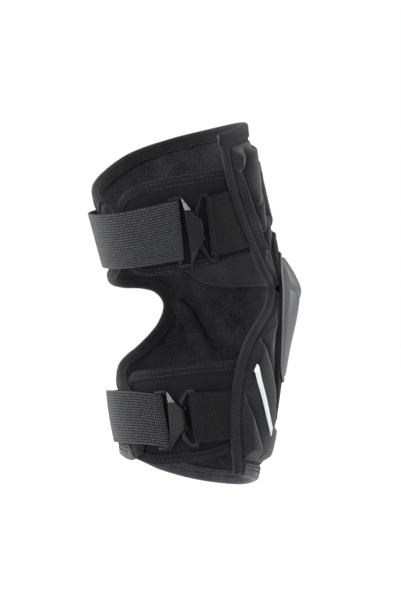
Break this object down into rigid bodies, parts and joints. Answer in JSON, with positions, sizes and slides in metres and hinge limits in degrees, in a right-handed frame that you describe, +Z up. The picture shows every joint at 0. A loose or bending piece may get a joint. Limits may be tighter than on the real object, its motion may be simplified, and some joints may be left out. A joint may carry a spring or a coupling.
{
  "type": "motorcycle knee pad",
  "caption": "Soft wrap-round knee guard with ribbed padding, a moulded knee cap, an open side, a cut-out behind the knee and elastic straps with hook buckles.",
  "frame": {"origin": "centre of the knee, on the line of the leg that the guard sits on", "axes": "+X the way the knee points, +Z up the leg to the thigh, -Y the side that opens"},
  "size_m": [0.1657, 0.1248, 0.2789],
  "materials": {
    "neoprene": "matte brushed neoprene",
    "padding": "matte knitted cover over foam",
    "tape": "matte folded binding tape",
    "lining": "matte stretch knit",
    "elastic": "ribbed woven elastic",
    "flexible_plate": "matte flexible plate",
    "cap_plastic": "satin moulded plastic",
    "buckle_plastic": "semi-gloss moulded plastic",
    "reflective": "pale reflective tape"
  },
  "bodies": {
    "root": {"sleeve": "neoprene", "thigh_pad": "padding", "shin_pad": "padding", "near_binding": "tape", "back_binding": "tape", "top_hem": "tape", "bottom_hem": "tape", "cap_base": "flexible_plate", "knee_cap": "cap_plastic", "reflective_stripe": "reflective", "lining_patch": "lining", "upper_flap": "lining", "upper_webbing": "elastic", "upper_strap": "elastic", "upper_ring": "buckle_plastic", "upper_buckle": "buckle_plastic", "lower_flap": "lining", "lower_webbing": "elastic", "lower_strap": "elastic", "lower_ring": "buckle_plastic", "lower_buckle": "buckle_plastic"}
  },
  "joints": []
}
